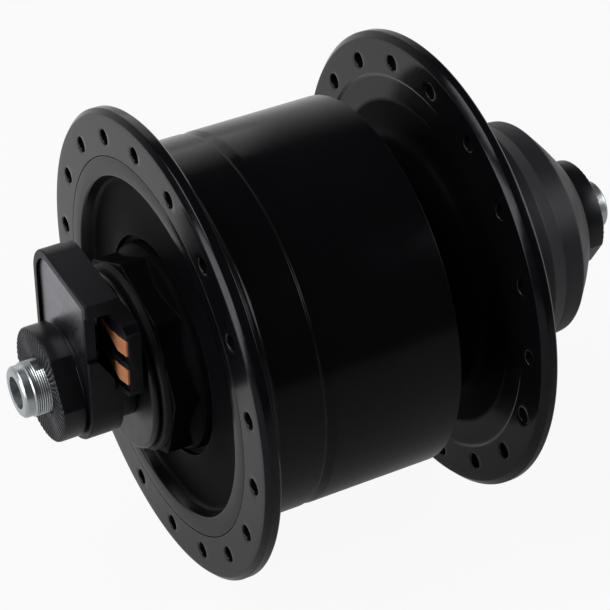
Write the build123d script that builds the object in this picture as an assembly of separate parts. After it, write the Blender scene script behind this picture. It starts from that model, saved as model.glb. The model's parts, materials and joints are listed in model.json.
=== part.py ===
from build123d import *
import os
from math import pi

# Hub dynamo for a front wheel, in millimetres. The axle lies along Y, with the
# connector at the -Y end, called left here. Z is up and the origin is the
# middle of the axle.

# Fork and skewer fit
over_locknuts = 100.0
axle_stick_out = 4.0
axle_dia = 9.0
axle_bore = 5.2
axle_tip_dia = 8.5
axle_tip_length = 2.0
axle_chamfer = 0.5
axle_groove_width = 2.4
axle_groove_depth = 0.95
axle_groove_reach = 1.0

# Wheel fit
spokes_per_flange = 18
spoke_hole_dia = 2.6
spoke_countersink = 0.35
spoke_phase = 17.3
spoke_rise = 3.4
spoke_edge = 4.5
flange_thickness = 2.6
flange_edge_chamfer = 0.8
flange_back_chamfer = 0.4

# Shared clearances
thread_clearance = 0.03
seat_clearance = 0.05
cut_overrun = 1.0
match_tolerance = 0.01

# Shell
barrel_dia = 63.2
barrel_wall = 2.0
barrel_corner = 0.5
barrel_groove_offset = 14.2
barrel_groove_width = 2.0
barrel_groove_depth = 0.25
shoulder_rise = 4.4
shoulder_length = 3.2
end_wall = 2.2
neck_dia = 43.4
neck_wall = 2.5
neck_length = 10.3
neck_fillet = 2.3
web_step_rise = 0.4
web_step = 0.3
hub_nose_wall = 1.4
hub_nose_cone_length = 2.0
hub_nose_cone_rise = 5.2
hub_hole_dia = 20.8
right_ball_offset = 9.8

# End cap with its eight wrench flats
cap_seat_rise = 0.3
cap_rim_thickness = 2.0
cap_rim_width = 3.1
cap_dish_depth = 2.4
cap_dish_fillet = 1.2
cap_floor_thickness = 2.1
cap_skirt_length = 2.0
cap_skirt_wall = 1.9
boss_height = 4.3
boss_wall = 2.2
boss_flat_count = 8
boss_flat_phase = -15.0
boss_base_rise = 1.8
boss_base_height = 0.5
boss_base_cone = 1.6
boss_base_cone_inset = 0.3
boss_groove_width = 1.05
boss_groove_depth = 1.1
boss_bank_drop = 1.1
boss_bank_width = 5.5
boss_bank_sag_share = 0.67

# Cap seal ring
o_ring_section = 0.9
o_ring_groove_width = 1.2
o_ring_inset = 0.8

# Bearings
ball_dia = 4.76
ball_count = 10
ball_circle_dia = 19.0
ball_clearance = 0.06
ball_inset = 2.8
cup_wall = 1.46
cup_web = 1.4
cup_lip_drop = 0.6
cone_drop = 0.5
cone_nose_length = 2.8
cage_outer_rise = 2.1
cage_inner_drop = 0.1
cage_thickness = 1.2
cage_offset = 0.9
cage_pocket_clearance = 0.1

# Seals and dust covers
seal_thickness = 1.1
seal_lip_gap = 0.5
seal_gap = 0.5
dust_disc_inset = 0.8
dust_disc_thickness = 1.1
dust_disc_chamfer = 0.4
cover_gap = 5.0
cover_wall = 0.9
cover_web = 1.5
cover_skirt_length = 8.5
cover_shoulder_length = 3.1
cover_shoulder_drop = 1.6
cover_body_length = 3.7
cover_body_drop = 0.4
cover_nose_length = 5.8
cover_nose_drop = 7.0
cover_lip_fillet = 0.4
spacer_dia = 17.6
left_spacer_length = 3.1
right_spacer_length = 8.4

# Lock nuts and washers
left_nut_dia = 19.0
right_nut_dia = 18.0
nut_flats = 17.0
nut_thickness = 4.0
nut_chamfer = 0.4
nut_teeth = 56
nut_tooth_depth = 0.35
nut_tooth_share = 0.62
left_nut_turn = 33.0
right_nut_turn = -28.0
washer_dia = 17.4
washer_thickness = 0.8

# Connector
connector_width = 20.8
connector_height = 21.3
connector_depth = 5.5
connector_corner = 6.5
connector_rim = 1.4
connector_rim_proud = 0.5
connector_edge_fillet = 0.4
connector_side_recess = 0.6
face_plate_thickness = 0.6
face_plate_gap = 0.1
pocket_inner = 4.0
pocket_front_wall = 1.7
pocket_bottom = 3.7
pocket_top = 18.7
pocket_sill_height = 10.0
wire_channel_width = 2.8
wire_channel_bottom = 3.2
wire_channel_top = 15.2

# Terminal block and its two contacts
block_fit = 0.1
block_reach = 13.2
block_floor = 0.9
block_rib = 1.1
block_roof = 2.1
slot_height = 4.5
slot_depth = 1.3
block_back_wall = 2.1
block_rear_proud = 2.3
block_end_wall = 1.4
block_taper_length = 3.7
block_taper_depth = 0.9
block_roof_chamfer = 1.0
contact_thickness = 0.4
contact_stand_off = 0.5
contact_foot_gap = 1.2
contact_head_gap = 0.3
contact_end_inset = 0.3
contact_ramp_length = 2.0
contact_root_height = 1.5
contact_tail = 1.4

# Magnet ring in the shell
yoke_wall = 1.7
yoke_inset = 1.4
yoke_end_gap = 2.2
magnet_thickness = 2.8
magnet_count = 4
magnet_gap_angle = 1.5

# Stator on the axle
air_gap = 0.5
claw_count = 14
claw_angle = 8.6
claw_thickness = 1.8
claw_plate = 2.0
claw_tip_gap = 0.8
stator_inset = 0.6
core_dia = 18.6
bobbin_wall = 0.8
bobbin_flange = 1.2
bobbin_clearance = 0.1
coil_claw_gap = 0.5
stator_nut_sides = 6
stator_nut_flats = 17.0
stator_nut_thickness = 3.0

# Coil leads
lead_dia = 0.8
lead_pitch = 1.2
lead_bend = 1.2
lead_slot_height = 12.2
lead_coil_height = 11.2

# Radii and stations that follow from the sizes above
axle_r = axle_dia / 2
bore_fit_r = axle_r + thread_clearance
ball_r = ball_dia / 2
race_r = ball_r + ball_clearance
ball_circle_r = ball_circle_dia / 2
cup_wall_r = ball_circle_r + race_r
cup_r = cup_wall_r + cup_wall
cone_r = ball_circle_r - cone_drop
boss_flat_r = cup_r + boss_wall
boss_r = boss_flat_r + boss_base_rise
hub_nose_r = cup_r + hub_nose_wall
cover_inner_r = hub_nose_r + cover_gap
cover_skirt_r = cover_inner_r + cover_wall
cover_body_r = cover_skirt_r - cover_shoulder_drop
cover_lip_r = cover_body_r - cover_body_drop
cover_face_r = cover_lip_r - cover_nose_drop
barrel_r = barrel_dia / 2
barrel_bore_r = barrel_r - barrel_wall
spoke_circle_r = barrel_r + spoke_rise
flange_r = spoke_circle_r + spoke_edge
web_step_r = barrel_r + web_step_rise
neck_r = neck_dia / 2
neck_bore_r = neck_r - neck_wall
cap_r = barrel_r + cap_seat_rise
dish_r = cap_r - cap_rim_width
left_nut_r = left_nut_dia / 2
right_nut_r = right_nut_dia / 2

axle_half = over_locknuts / 2 + axle_stick_out
left_nut_face = -over_locknuts / 2
left_washer_face = left_nut_face + nut_thickness
plate_face = left_washer_face + washer_thickness
plate_back = plate_face + face_plate_thickness
connector_front = plate_face - connector_rim_proud
connector_back = connector_front + connector_depth
dust_disc_face = connector_back + left_spacer_length
dust_disc_back = dust_disc_face + dust_disc_thickness
left_seal_face = dust_disc_back + seal_gap
boss_front = left_seal_face + seal_thickness
left_ball_station = boss_front + ball_inset
left_flange_face = boss_front + boss_height
left_flange_back = left_flange_face + flange_thickness

right_nut_face = over_locknuts / 2
right_washer_face = right_nut_face - nut_thickness
cover_face = right_washer_face - washer_thickness
cover_web_face = cover_face - cover_web
cover_lip = cover_face - cover_nose_length
cover_shoulder_end = cover_lip - cover_body_length
cover_shoulder = cover_shoulder_end - cover_shoulder_length
cover_skirt_end = cover_shoulder - cover_skirt_length
right_cone_back = cover_web_face - right_spacer_length
right_seal_face = right_cone_back - seal_gap
nose_end = right_seal_face - seal_thickness
right_ball_station = nose_end - ball_inset
right_flange_back = right_ball_station - right_ball_offset
right_flange_face = right_flange_back - flange_thickness

barrel_groove = left_flange_face + barrel_groove_offset
barrel_end = right_flange_face - neck_length
end_wall_face = barrel_end - end_wall
cap_rim_back = left_flange_face + cap_rim_thickness
dish_floor = left_flange_face + cap_dish_depth
cap_back = dish_floor + cap_floor_thickness
cap_skirt_end = cap_back + cap_skirt_length
boss_foot = dish_floor - boss_bank_drop

yoke_start = cap_skirt_end + yoke_inset
yoke_end = end_wall_face - yoke_end_gap
yoke_r = barrel_bore_r - seat_clearance
yoke_bore_r = yoke_r - yoke_wall
magnet_r = yoke_bore_r - seat_clearance
magnet_bore_r = magnet_r - magnet_thickness
claw_r = magnet_bore_r - air_gap
claw_inner_r = claw_r - claw_thickness
stator_start = yoke_start + stator_inset
stator_end = yoke_end - stator_inset
core_start = stator_start + claw_plate
core_end = stator_end - claw_plate
core_r = core_dia / 2
coil_r = claw_inner_r - coil_claw_gap

pocket_front = connector_front + pocket_front_wall
block_inner = pocket_inner + block_fit
block_bottom = pocket_bottom + block_fit
lower_slot = block_bottom + block_floor
upper_slot = lower_slot + slot_height + block_rib
block_top = upper_slot + slot_height + block_roof
block_rear = connector_back + block_rear_proud
slot_back = block_rear - block_back_wall
block_front = slot_back - slot_depth
contact_back = slot_back - contact_stand_off
contact_front = contact_back - contact_thickness
contact_inner = block_inner - contact_tail
contact_outer = block_reach - contact_end_inset


def turned(*outline):
    """A solid of revolution about the axle, from (radius, station) corners."""
    return revolve(make_face(Polyline(*outline, close=True)), Axis.Y)


def ring(outer_r, inner_r, start, end):
    """A plain ring about the axle between two stations."""
    return turned((inner_r, start), (outer_r, start), (outer_r, end), (inner_r, end))


def disc(radius, start, end):
    """A plain disc on the axle line between two stations."""
    return turned((0, start), (radius, start), (radius, end), (0, end))


def circle_edges(shape, radius, station):
    """The circular edges of one radius at one station."""
    return [
        edge
        for edge in shape.edges().filter_by(GeomType.CIRCLE)
        if abs(edge.radius - radius) < match_tolerance
        and abs(edge.arc_center.Y - station) < match_tolerance
    ]


def race_tool(station):
    """The torus that the balls of one bearing sweep, with its clearance."""
    section = Pos(ball_circle_r, station) * CenterArc((0, 0), race_r, 0, 360)
    return revolve(make_face(section), Axis.Y)


def block(x_low, x_high, y_low, y_high, z_low, z_high):
    """A box given by its faces."""
    size = Box(x_high - x_low, y_high - y_low, z_high - z_low)
    return Pos((x_low + x_high) / 2, (y_low + y_high) / 2, (z_low + z_high) / 2) * size


def around(shape, count, first=0.0):
    """Copies of a shape at equal turns about the axle line."""
    return [Rot(0, first + 360 * index / count, 0) * shape for index in range(count)]


def axle_plane(station):
    """A sketch plane square to the axle, with X to the right and Z up."""
    return Plane(origin=(0, station, 0), x_dir=(1, 0, 0), z_dir=(0, -1, 0))


def axle():
    """Hollow axle with smooth tips and a groove that leads the wires out."""
    tip_r = axle_tip_dia / 2
    rod = turned(
        (axle_bore / 2, -axle_half),
        (tip_r - axle_chamfer, -axle_half),
        (tip_r, -axle_half + axle_chamfer),
        (tip_r, -axle_half + axle_tip_length),
        (axle_r, -axle_half + axle_tip_length),
        (axle_r, axle_half - axle_tip_length),
        (tip_r, axle_half - axle_tip_length),
        (tip_r, axle_half - axle_chamfer),
        (tip_r - axle_chamfer, axle_half),
        (axle_bore / 2, axle_half),
    )
    groove_low = axle_r - axle_groove_depth
    half_width = axle_groove_width / 2
    groove = block(
        -half_width,
        half_width,
        left_nut_face - axle_groove_reach,
        core_start,
        groove_low,
        axle_r + cut_overrun,
    )
    return rod - groove


def lock_nut(nut_r, face, back, turn):
    """Round nut with two wrench flats and radial teeth on its outer face."""
    outward = 1 if face > back else -1
    body = ring(nut_r, bore_fit_r, min(face, back), max(face, back))
    body = chamfer(circle_edges(body, nut_r, face), nut_chamfer)
    flat_reach = nut_flats / 2
    for side in (-1, 1):
        cheek = block(
            min(side * flat_reach, side * (nut_r + cut_overrun)),
            max(side * flat_reach, side * (nut_r + cut_overrun)),
            min(face, back) - cut_overrun,
            max(face, back) + cut_overrun,
            -nut_r,
            nut_r,
        )
        body = body - Rot(0, -turn, 0) * cheek
    half_tooth = pi * nut_r / nut_teeth * nut_tooth_share
    notch_profile = Polyline(
        (-half_tooth, face + outward * nut_tooth_depth),
        (half_tooth, face + outward * nut_tooth_depth),
        (0, face - outward * nut_tooth_depth),
        close=True,
    )
    tooth_inner_r = axle_r + nut_chamfer
    notch = extrude(make_face(notch_profile), nut_r + cut_overrun)
    notch = Pos(0, 0, tooth_inner_r) * notch
    return body - around(notch, nut_teeth)


def washer(start):
    """Plain steel washer under a lock nut."""
    return ring(washer_dia / 2, bore_fit_r, start, start + washer_thickness)


def connector_outline(inset):
    """D shape: round below the axle, straight sides, one round top corner."""
    half = connector_width / 2 - inset
    top = connector_height - inset
    corner = connector_corner - inset
    left_side = Line((-half, 0), (-half, top - corner))
    left_corner = RadiusArc((-half, top - corner), (-half + corner, top), corner)
    top_side = Line((-half + corner, top), (half, top))
    right_side = Line((half, top), (half, 0))
    foot = ThreePointArc((half, 0), (0, -half), (-half, 0))
    return make_face([left_side, left_corner, top_side, right_side, foot])


def contact_heights(slot):
    """Lower and upper edge of the contact in one slot."""
    return slot + contact_foot_gap, slot + slot_height - contact_head_gap


def wire_channel():
    """Space for the two leads between the axle groove and the contacts."""
    half = wire_channel_width / 2
    return block(
        -half,
        pocket_inner + cut_overrun,
        pocket_front,
        connector_back + cut_overrun,
        wire_channel_bottom,
        wire_channel_top,
    )


def block_envelope(gap):
    """Outer box of the terminal block, grown by a gap."""
    return block(
        block_inner - gap,
        block_reach + gap,
        block_front - gap,
        block_rear + gap,
        block_bottom - gap,
        block_top + gap,
    )


def connector_housing():
    """Plastic body of the connector, open at its side for the terminal block."""
    body = extrude(axle_plane(connector_front) * connector_outline(0), -connector_depth)
    front_edges = body.faces().sort_by(Axis.Y)[0].edges()
    body = fillet(front_edges, connector_edge_fillet)
    recess = axle_plane(connector_front) * connector_outline(connector_rim)
    body = body - extrude(recess, connector_front - plate_back)
    body = body - disc(bore_fit_r, connector_front, connector_back + cut_overrun)
    window = Polyline(
        (pocket_inner, pocket_front, pocket_sill_height),
        (pocket_inner, pocket_front, pocket_top),
        (pocket_inner, connector_back + cut_overrun, pocket_top),
        (pocket_inner, connector_back + cut_overrun, pocket_bottom),
        (pocket_inner, connector_back, pocket_bottom),
        close=True,
    )
    pocket = extrude(make_face(window), connector_width, dir=(1, 0, 0))
    side = connector_width / 2
    side_recess = block(
        side - connector_side_recess,
        side + cut_overrun,
        connector_front - cut_overrun,
        connector_back + cut_overrun,
        pocket_sill_height,
        pocket_top,
    )
    return body - pocket - side_recess - block_envelope(block_fit) - wire_channel()


def face_plate():
    """Pale plate in the recess of the connector, under the lock nut."""
    outline = connector_outline(connector_rim + face_plate_gap)
    plate = extrude(axle_plane(plate_face) * outline, -face_plate_thickness)
    return plate - disc(bore_fit_r, plate_face - cut_overrun, plate_back + cut_overrun)


def terminal_block():
    """Ribbed block that holds the two contacts, with two slots open sideways."""
    body = block_envelope(0)
    roof_edge = body.edges().filter_by(Axis.Y).group_by(Axis.Z)[-1].sort_by(Axis.X)[-1]
    body = chamfer(roof_edge, block_roof_chamfer)
    taper = Polyline(
        (block_reach + cut_overrun, block_front - cut_overrun, block_bottom),
        (block_reach - block_taper_length, block_front - cut_overrun, block_bottom),
        (block_reach - block_taper_length, block_front, block_bottom),
        (block_reach, block_front + block_taper_depth, block_bottom),
        (block_reach + cut_overrun, block_front + block_taper_depth, block_bottom),
        close=True,
    )
    body = body - extrude(make_face(taper), block_top - block_bottom, dir=(0, 0, 1))
    for low in (lower_slot, upper_slot):
        body = body - block(
            block_inner + block_end_wall,
            block_reach + cut_overrun,
            block_front - cut_overrun,
            slot_back,
            low,
            low + slot_height,
        )
        contact_low, contact_high = contact_heights(low)
        body = body - block(
            block_inner - cut_overrun,
            block_inner + block_end_wall,
            contact_front,
            contact_back,
            contact_high - contact_root_height,
            contact_high,
        )
    return body - disc(spacer_dia / 2 + block_fit, connector_back - block_fit, block_rear + cut_overrun)


def contact(slot):
    """Copper blade in one slot: narrow at its root, bent back at its outer end."""
    low, high = contact_heights(slot)
    bend = contact_outer - contact_ramp_length
    plan = Polyline(
        (contact_inner, contact_front, low),
        (bend, contact_front, low),
        (contact_outer, contact_front + contact_stand_off, low),
        (contact_outer, slot_back, low),
        (bend, contact_back, low),
        (contact_inner, contact_back, low),
        close=True,
    )
    blade = extrude(make_face(plan), high - low, dir=(0, 0, 1))
    root_low = high - contact_root_height
    taper = Polyline(
        (contact_inner - cut_overrun, contact_front - cut_overrun, low - cut_overrun),
        (bend, contact_front - cut_overrun, low - cut_overrun),
        (bend, contact_front - cut_overrun, low),
        (block_inner + block_end_wall, contact_front - cut_overrun, root_low),
        (contact_inner - cut_overrun, contact_front - cut_overrun, root_low),
        close=True,
    )
    return blade - extrude(make_face(taper), contact_thickness + 2 * cut_overrun, dir=(0, 1, 0))


def left_spacer():
    """Sleeve between the connector and the dust disc."""
    body = ring(spacer_dia / 2, bore_fit_r, connector_back, dust_disc_face)
    half = wire_channel_width / 2
    slot = block(
        -half,
        half,
        connector_back - cut_overrun,
        connector_back + lead_dia,
        0,
        spacer_dia / 2 + cut_overrun,
    )
    return body - slot


def dust_disc():
    """Pressed disc that covers the left bearing."""
    disc_r = boss_flat_r - dust_disc_inset
    body = ring(disc_r, bore_fit_r, dust_disc_face, dust_disc_back)
    return chamfer(circle_edges(body, disc_r, dust_disc_face), dust_disc_chamfer)


def bearing_cone(back, station):
    """Threaded cone with the inner race, from its back face to past the balls."""
    inward = 1 if station > back else -1
    nose_end_station = station + inward * cone_nose_length
    nose_r = ball_circle_r - ball_r - ball_clearance
    body = turned(
        (bore_fit_r, back),
        (cone_r, back),
        (cone_r, station),
        (nose_r, station),
        (nose_r, nose_end_station),
        (bore_fit_r, nose_end_station),
    )
    return body - race_tool(station)


def bearing_cup(face, station):
    """Pressed cup with the outer race, from its open face to past the balls."""
    inward = 1 if station > face else -1
    web_inner = station + inward * race_r
    web_outer = web_inner + inward * cup_web
    lip_r = ball_circle_r - cup_lip_drop
    body = turned(
        (cup_wall_r, face),
        (cup_r - seat_clearance, face),
        (cup_r - seat_clearance, web_outer),
        (lip_r, web_outer),
        (lip_r, station),
        (cup_wall_r, station),
    )
    return body - race_tool(station)


def ball_set(station):
    """The balls of one bearing, as separate solids."""
    ball = Pos(ball_circle_r, station, 0) * Sphere(ball_r)
    return around(ball, ball_count)


def ball_cage(station, outward):
    """Ring with a pocket for each ball, on the outer side of the balls."""
    near = station + outward * cage_offset
    far = near + outward * cage_thickness
    outer_r = ball_circle_r + cage_outer_rise
    inner_r = ball_circle_r - cage_inner_drop
    body = ring(outer_r, inner_r, min(near, far), max(near, far))
    pocket = Pos(ball_circle_r, station, 0) * Sphere(ball_r + cage_pocket_clearance)
    return body - around(pocket, ball_count)


def seal_ring(outer_r, start, end):
    """Rubber ring that closes a bearing mouth around its cone."""
    return ring(outer_r, cone_r + seal_lip_gap, min(start, end), max(start, end))


def cup_seat_depth():
    """Length of the bore that holds a cup, from its mouth."""
    return ball_inset + race_r + cup_web


def spoke_holes(face, back, phase):
    """Cutters for one flange's spoke holes, countersunk on both sides."""
    hole_r = spoke_hole_dia / 2
    wide_r = hole_r + spoke_countersink
    half_profile = Polyline(
        (0, face - cut_overrun),
        (wide_r, face - cut_overrun),
        (wide_r, face),
        (hole_r, face + spoke_countersink),
        (hole_r, back - spoke_countersink),
        (wide_r, back),
        (wide_r, back + cut_overrun),
        (0, back + cut_overrun),
        close=True,
    )
    cutter = Pos(spoke_circle_r, 0, 0) * revolve(make_face(half_profile), Axis.Y)
    return around(cutter, spokes_per_flange, -phase)


def hub_shell():
    """Barrel with both flanges, its neck and the nose that holds the right cup."""
    seat_r = cap_r + thread_clearance
    cup_shoulder = nose_end - cup_seat_depth()
    groove_floor = barrel_r - barrel_groove_depth
    shell = turned(
        (seat_r, left_flange_face),
        (flange_r - flange_edge_chamfer, left_flange_face),
        (flange_r, left_flange_face + flange_edge_chamfer),
        (flange_r, left_flange_back - flange_back_chamfer),
        (flange_r - flange_back_chamfer, left_flange_back),
        (barrel_r + shoulder_rise, left_flange_back),
        (barrel_r, left_flange_back + shoulder_length),
        (barrel_r, barrel_groove),
        (groove_floor, barrel_groove),
        (barrel_r, barrel_groove + barrel_groove_width),
        (barrel_r, barrel_end - barrel_corner),
        (barrel_r - barrel_corner, barrel_end),
        (neck_r, barrel_end),
        (neck_r, right_flange_face + web_step),
        (web_step_r - web_step, right_flange_face + web_step),
        (web_step_r, right_flange_face),
        (flange_r - flange_edge_chamfer, right_flange_face),
        (flange_r, right_flange_face + flange_edge_chamfer),
        (flange_r, right_flange_back - flange_back_chamfer),
        (flange_r - flange_back_chamfer, right_flange_back),
        (hub_nose_r + hub_nose_cone_rise, right_flange_back),
        (hub_nose_r, right_flange_back + hub_nose_cone_length),
        (hub_nose_r, nose_end),
        (cup_r, nose_end),
        (cup_r, cup_shoulder),
        (hub_hole_dia / 2, cup_shoulder),
        (hub_hole_dia / 2, right_flange_face),
        (neck_bore_r, right_flange_face),
        (neck_bore_r, end_wall_face),
        (barrel_bore_r, end_wall_face),
        (barrel_bore_r, cap_rim_back),
        (seat_r, cap_rim_back),
    )
    shell = fillet(circle_edges(shell, neck_r, right_flange_face + web_step), neck_fillet)
    left_holes = spoke_holes(left_flange_face, left_flange_back, spoke_phase)
    half_pitch = 180 / spokes_per_flange
    right_holes = spoke_holes(right_flange_face, right_flange_back, spoke_phase - half_pitch)
    return shell - left_holes - right_holes


def end_cap():
    """Dished cap that closes the barrel, with the eight-sided boss for a spanner."""
    groove_r = boss_r + boss_groove_width
    skirt_r = barrel_bore_r - thread_clearance
    cone_end = boss_foot - boss_base_height - boss_base_cone
    cup_shoulder = boss_front + cup_seat_depth()
    wall_foot = dish_floor - cap_dish_fillet
    corners = [
        (cup_r, cone_end),
        (boss_flat_r - boss_base_cone_inset, cone_end),
        (boss_r, boss_foot - boss_base_height),
        (boss_r, boss_foot + boss_groove_depth),
        (groove_r, boss_foot + boss_groove_depth),
        (groove_r, boss_foot),
    ]
    bank_end = groove_r + boss_bank_width
    bank_middle = groove_r + boss_bank_width / 2
    bank_height = boss_foot + boss_bank_sag_share * boss_bank_drop
    bank = ThreePointArc(corners[-1], (bank_middle, bank_height), (bank_end, dish_floor))
    floor = Line((bank_end, dish_floor), (dish_r - cap_dish_fillet, dish_floor))
    corner = RadiusArc((dish_r - cap_dish_fillet, dish_floor), (dish_r, wall_foot), cap_dish_fillet)
    rest = Polyline(
        (dish_r, wall_foot),
        (dish_r, left_flange_face),
        (cap_r, left_flange_face),
        (cap_r, cap_rim_back - seat_clearance),
        (skirt_r, cap_rim_back - seat_clearance),
        (skirt_r, cap_skirt_end),
        (skirt_r - cap_skirt_wall, cap_skirt_end),
        (skirt_r - cap_skirt_wall, cap_back),
        (hub_hole_dia / 2, cap_back),
        (hub_hole_dia / 2, cup_shoulder),
        (cup_r, cup_shoulder),
        (cup_r, cone_end),
    )
    cap = revolve(make_face([Polyline(*corners), bank, floor, corner, rest]), Axis.Y)
    flats = RegularPolygon(boss_flat_r, boss_flat_count, major_radius=False)
    turn = boss_flat_phase + 180 / boss_flat_count
    boss_length = cone_end + boss_base_cone - boss_front
    boss = extrude(axle_plane(boss_front) * Rot(0, 0, turn) * flats, -boss_length)
    boss = boss - disc(cup_r, boss_front - cut_overrun, boss_foot)
    groove_start = cap_rim_back + o_ring_inset
    groove_end = groove_start + o_ring_groove_width
    o_ring_groove = ring(skirt_r + cut_overrun, skirt_r - o_ring_section, groove_start, groove_end)
    return cap + boss - o_ring_groove


def cap_o_ring():
    """Rubber ring between the cap's skirt and the barrel."""
    skirt_r = barrel_bore_r - thread_clearance
    centre_r = skirt_r - o_ring_section / 2
    station = cap_rim_back + o_ring_inset + o_ring_groove_width / 2
    section = Pos(centre_r, station) * CenterArc((0, 0), o_ring_section / 2, 0, 360)
    return revolve(make_face(section), Axis.Y)


def right_spacer():
    """Sleeve between the right cone and the dust cover."""
    return ring(spacer_dia / 2, bore_fit_r, right_cone_back, cover_web_face)


def dust_cover():
    """Stepped cover over the nose of the shell, clamped under the right washer."""
    body = turned(
        (cover_skirt_r, cover_skirt_end),
        (cover_skirt_r, cover_shoulder),
        (cover_body_r, cover_shoulder_end),
        (cover_lip_r, cover_lip),
        (cover_face_r, cover_face),
        (bore_fit_r, cover_face),
        (bore_fit_r, cover_web_face),
        (cover_face_r - cover_wall, cover_web_face),
        (cover_lip_r - cover_wall, cover_lip),
        (cover_body_r - cover_wall, cover_shoulder_end),
        (cover_inner_r, cover_shoulder),
        (cover_inner_r, cover_skirt_end),
    )
    return fillet(circle_edges(body, cover_lip_r, cover_lip), cover_lip_fillet)


def yoke_ring():
    """Steel ring behind the magnets."""
    return ring(yoke_r, yoke_bore_r, yoke_start, yoke_end)


def magnets():
    """The curved magnets inside the yoke ring, as separate solids."""
    sweep_angle = 360 / magnet_count - magnet_gap_angle
    section = Pos((magnet_r + magnet_bore_r) / 2, (yoke_start + yoke_end) / 2) * Rectangle(
        magnet_thickness, yoke_end - yoke_start
    )
    arc = revolve(section, Axis.Y, revolution_arc=sweep_angle)
    return around(arc, magnet_count)


def claw_pole(plate_outer, inward, phase):
    """Soft iron plate with long teeth that reach over the coil."""
    plate_inner = plate_outer + inward * claw_plate
    body = ring(claw_r, bore_fit_r, min(plate_outer, plate_inner), max(plate_outer, plate_inner))
    tip = plate_outer + inward * (stator_end - stator_start - claw_plate - claw_tip_gap)
    tooth_section = Pos((claw_r + claw_inner_r) / 2, (plate_outer + tip) / 2) * Rectangle(
        claw_thickness, abs(tip - plate_outer)
    )
    tooth = revolve(tooth_section, Axis.Y, revolution_arc=claw_angle)
    half_pitch = 180 / claw_count
    notch_arc = 2 * half_pitch - claw_angle
    notch_section = Pos((claw_r + claw_inner_r) / 2 + cut_overrun / 2, (plate_outer + plate_inner) / 2)
    notch_section = notch_section * Rectangle(claw_thickness + cut_overrun, claw_plate + 2 * cut_overrun)
    notch = revolve(notch_section, Axis.Y, revolution_arc=notch_arc)
    body = body - around(notch, claw_count, phase - notch_arc)
    for piece in around(tooth, claw_count, phase):
        body = body + piece
    return body


def lead_slot():
    """Radial slot that lets the leads pass the left claw plate and the core."""
    half = axle_groove_width / 2
    return block(
        -half,
        half,
        stator_start - cut_overrun,
        core_start + bobbin_flange,
        0,
        lead_slot_height,
    )


def stator_core():
    """Iron sleeve through the coil."""
    return ring(core_r, bore_fit_r, core_start, core_end)


def bobbin():
    """Plastic former of the coil."""
    inner_r = core_r + bobbin_clearance
    tube_r = inner_r + bobbin_wall
    return turned(
        (inner_r, core_start),
        (coil_r, core_start),
        (coil_r, core_start + bobbin_flange),
        (tube_r, core_start + bobbin_flange),
        (tube_r, core_end - bobbin_flange),
        (coil_r, core_end - bobbin_flange),
        (coil_r, core_end),
        (inner_r, core_end),
    ) - lead_slot()


def coil():
    """Copper winding between the bobbin's flanges."""
    tube_r = core_r + bobbin_clearance + bobbin_wall
    return ring(
        coil_r - bobbin_clearance,
        tube_r,
        core_start + bobbin_flange,
        core_end - bobbin_flange,
    )


def stator_nut(start, end):
    """Hexagon nut that clamps the stator on the axle."""
    hexagon = RegularPolygon(stator_nut_flats / 2, stator_nut_sides, major_radius=False)
    body = extrude(axle_plane(start) * hexagon, start - end)
    return body - disc(bore_fit_r, start - cut_overrun, end + cut_overrun)


def lead(side, slot):
    """One coil lead: down the claw plate, along the axle groove, up to a contact."""
    x = side * lead_pitch / 2
    end_height = contact_heights(slot)[1] - contact_root_height / 2
    groove_height = axle_r - axle_groove_depth + lead_dia / 2
    plate_station = stator_start + claw_plate / 2
    rise_station = contact_front - lead_dia / 2
    path = FilletPolyline(
        (x, core_start + bobbin_flange, lead_coil_height),
        (x, plate_station, lead_coil_height),
        (x, plate_station, groove_height),
        (x, rise_station, groove_height),
        (x, rise_station, end_height),
        (block_inner, rise_station, end_height),
        radius=lead_bend,
    )
    start_plane = Plane(origin=path @ 0, z_dir=path % 0)
    return sweep(start_plane * Circle(lead_dia / 2), path=path)


parts = {
    "axle": axle(),
    "left_lock_nut": lock_nut(left_nut_r, left_nut_face, left_washer_face, left_nut_turn),
    "left_washer": washer(left_washer_face),
    "connector_housing": connector_housing(),
    "connector_face_plate": face_plate(),
    "terminal_block": terminal_block(),
    "upper_contact": contact(upper_slot),
    "lower_contact": contact(lower_slot),
    "left_spacer": left_spacer(),
    "left_dust_disc": dust_disc(),
    "left_cone": bearing_cone(dust_disc_back, left_ball_station),
    "left_cup": bearing_cup(boss_front, left_ball_station),
    "left_ball_cage": ball_cage(left_ball_station, -1),
    "left_seal": seal_ring(boss_flat_r, left_seal_face, boss_front),
    "end_cap": end_cap(),
    "cap_o_ring": cap_o_ring(),
    "hub_shell": hub_shell(),
    "yoke_ring": yoke_ring(),
    "stator_core": stator_core() - lead_slot(),
    "bobbin": bobbin(),
    "coil": coil(),
    "left_claw_pole": claw_pole(stator_start, 1, 0) - lead_slot(),
    "right_claw_pole": claw_pole(stator_end, -1, 180 / claw_count),
    "left_stator_nut": stator_nut(stator_start - stator_nut_thickness, stator_start),
    "right_stator_nut": stator_nut(stator_end, stator_end + stator_nut_thickness),
    "right_cone": bearing_cone(right_cone_back, right_ball_station),
    "right_cup": bearing_cup(nose_end, right_ball_station),
    "right_ball_cage": ball_cage(right_ball_station, 1),
    "right_seal": seal_ring(hub_nose_r, nose_end, right_seal_face),
    "right_spacer": right_spacer(),
    "right_dust_cover": dust_cover(),
    "right_washer": washer(cover_face),
    "right_lock_nut": lock_nut(right_nut_r, right_nut_face, right_washer_face, right_nut_turn),
}

# Groups of like pieces that stay separate solids in one node
groups = {
    "left_balls": ball_set(left_ball_station),
    "right_balls": ball_set(right_ball_station),
    "magnets": magnets(),
    "coil_leads": [
        lead(-1, upper_slot),
        lead(1, lower_slot),
    ],
}

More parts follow.
